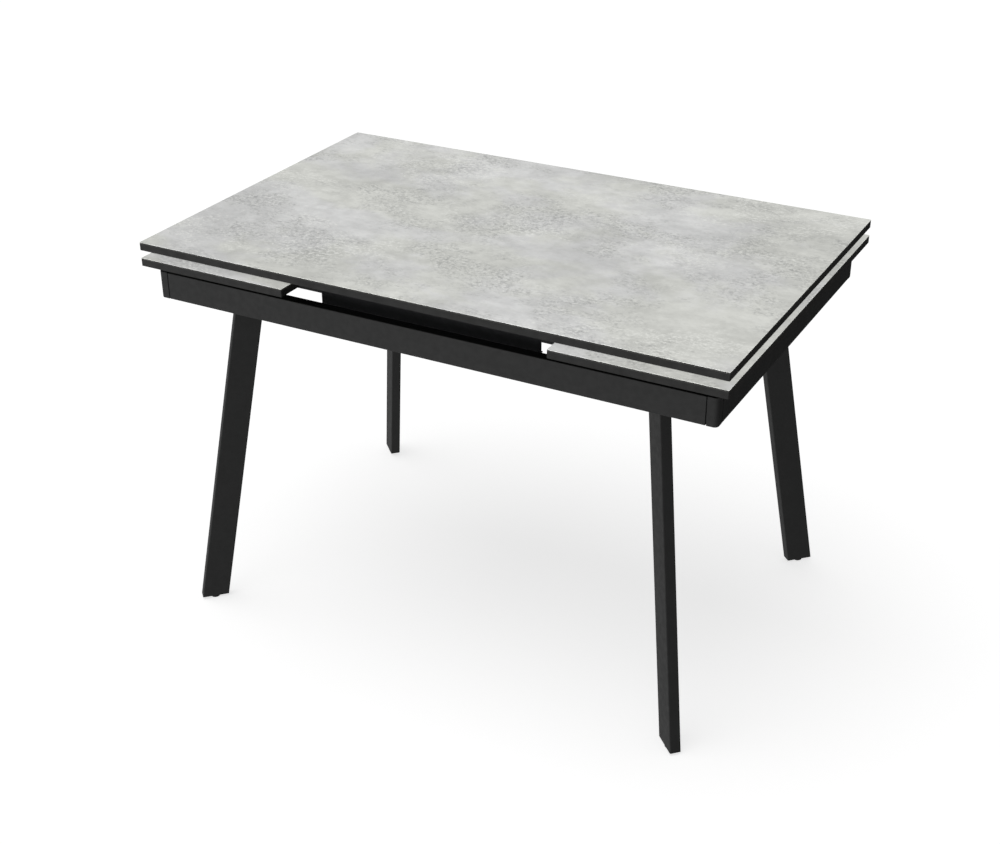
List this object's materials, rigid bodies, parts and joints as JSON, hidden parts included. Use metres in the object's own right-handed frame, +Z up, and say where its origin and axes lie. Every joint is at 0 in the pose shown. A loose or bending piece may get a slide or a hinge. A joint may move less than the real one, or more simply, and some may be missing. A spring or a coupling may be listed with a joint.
{
  "type": "extendable dining table",
  "caption": "Rectangular dining table with a stone-look ceramic top, black steel frame, splayed tube legs and draw-out leaves stored under both ends.",
  "frame": {"origin": "centre of the bounding box on the floor, under the middle of the top", "axes": "+X along the table's length, towards the right leaf; +Y across it, towards the rear; +Z up"},
  "size_m": [1.1, 0.7074, 0.735],
  "materials": {
    "ceramic_top": "matt stone-look glaze, light grey with darker clouds",
    "board_black": "black-lacquered board edge, satin",
    "steel_black": "black powder coat, fine texture",
    "steel_zinc": "bright zinc plated",
    "nylon_black": "black moulded nylon"
  },
  "bodies": {
    "frame": {"main_top_core": "board_black", "main_top_ceramic": "ceramic_top", "apron_front": "steel_black", "apron_rear": "steel_black", "apron_left": "steel_black", "apron_right": "steel_black", "corner_front_left": "steel_black", "corner_front_right": "steel_black", "corner_rear_left": "steel_black", "corner_rear_right": "steel_black", "guide_rail_front": "steel_black", "guide_rail_rear": "steel_black", "slide_pad_front_left": "nylon_black", "slide_pad_front_right": "nylon_black", "slide_pad_rear_left": "nylon_black", "slide_pad_rear_right": "nylon_black", "bridge_beam_left": "steel_black", "bridge_beam_right": "steel_black", "fascia_front": "steel_black", "fascia_rear": "steel_black", "leg_front_left": "steel_black", "foot_plug_front_left": "nylon_black", "leg_plate_front_left": "steel_black", "leg_front_right": "steel_black", "foot_plug_front_right": "nylon_black", "leg_plate_front_right": "steel_black", "leg_rear_left": "steel_black", "foot_plug_rear_left": "nylon_black", "leg_plate_rear_left": "steel_black", "leg_rear_right": "steel_black", "foot_plug_rear_right": "nylon_black", "leg_plate_rear_right": "steel_black"},
    "glide_front_left_body": {"glide_front_left": "nylon_black"},
    "glide_front_right_body": {"glide_front_right": "nylon_black"},
    "glide_rear_left_body": {"glide_rear_left": "nylon_black"},
    "glide_rear_right_body": {"glide_rear_right": "nylon_black"},
    "left_carriage": {"left_slide_bar_front": "steel_zinc", "left_slide_bar_rear": "steel_zinc", "left_crossbar": "steel_zinc"},
    "left_inner_arms": {"left_lift_arm_inner_front": "steel_zinc", "left_lift_arm_inner_rear": "steel_zinc"},
    "left_outer_arms": {"left_lift_arm_outer_front": "steel_zinc", "left_lift_arm_outer_rear": "steel_zinc"},
    "left_leaf": {"left_leaf_bracket_front": "steel_black", "left_leaf_bracket_rear": "steel_black", "left_leaf_core": "board_black", "left_leaf_ceramic": "ceramic_top"},
    "right_carriage": {"right_slide_bar_front": "steel_zinc", "right_slide_bar_rear": "steel_zinc", "right_crossbar": "steel_zinc"},
    "right_inner_arms": {"right_lift_arm_inner_front": "steel_zinc", "right_lift_arm_inner_rear": "steel_zinc"},
    "right_outer_arms": {"right_lift_arm_outer_front": "steel_zinc", "right_lift_arm_outer_rear": "steel_zinc"},
    "right_leaf": {"right_leaf_bracket_front": "steel_black", "right_leaf_bracket_rear": "steel_black", "right_leaf_core": "board_black", "right_leaf_ceramic": "ceramic_top"}
  },
  "joints": [
    {"name": "glide_front_left_screw", "type": "slide", "parent": "frame", "child": "glide_front_left_body", "axis": [0, 0, -1], "range_m": [0, 0.01]},
    {"name": "glide_front_right_screw", "type": "slide", "parent": "frame", "child": "glide_front_right_body", "axis": [0, 0, -1], "range_m": [0, 0.01]},
    {"name": "glide_rear_left_screw", "type": "slide", "parent": "frame", "child": "glide_rear_left_body", "axis": [0, 0, -1], "range_m": [0, 0.01]},
    {"name": "glide_rear_right_screw", "type": "slide", "parent": "frame", "child": "glide_rear_right_body", "axis": [0, 0, -1], "range_m": [0, 0.01]},
    {"name": "left_leaf_slide", "type": "slide", "parent": "frame", "child": "left_carriage", "axis": [-1, 0, 0], "range_m": [0, 0.3085]},
    {"name": "left_leaf_lift", "type": "hinge", "parent": "left_carriage", "child": "left_inner_arms", "pos_m": [-0.28, 0, 0.6755], "axis": [0, 1, 0], "range_deg": [0, 13]},
    {"name": "left_outer_arm_pivot", "type": "hinge", "parent": "left_carriage", "child": "left_outer_arms", "pos_m": [-0.43, 0, 0.6755], "axis": [0, 1, 0], "range_deg": [0, 13]},
    {"name": "left_leaf_level", "type": "hinge", "parent": "left_inner_arms", "child": "left_leaf", "pos_m": [-0.34, 0, 0.6755], "axis": [0, 1, 0], "range_deg": [-13, 0]},
    {"name": "right_leaf_slide", "type": "slide", "parent": "frame", "child": "right_carriage", "axis": [1, 0, 0], "range_m": [0, 0.3085]},
    {"name": "right_leaf_lift", "type": "hinge", "parent": "right_carriage", "child": "right_inner_arms", "pos_m": [0.28, 0, 0.6755], "axis": [0, -1, 0], "range_deg": [0, 13]},
    {"name": "right_outer_arm_pivot", "type": "hinge", "parent": "right_carriage", "child": "right_outer_arms", "pos_m": [0.43, 0, 0.6755], "axis": [0, -1, 0], "range_deg": [0, 13]},
    {"name": "right_leaf_level", "type": "hinge", "parent": "right_inner_arms", "child": "right_leaf", "pos_m": [0.34, 0, 0.6755], "axis": [0, -1, 0], "range_deg": [-13, 0]}
  ],
  "couplings": [
    {"joint": "left_outer_arm_pivot", "follows": "left_leaf_lift", "ratio": 1},
    {"joint": "left_leaf_level", "follows": "left_leaf_lift", "ratio": -1},
    {"joint": "right_outer_arm_pivot", "follows": "right_leaf_lift", "ratio": 1},
    {"joint": "right_leaf_level", "follows": "right_leaf_lift", "ratio": -1}
  ]
}
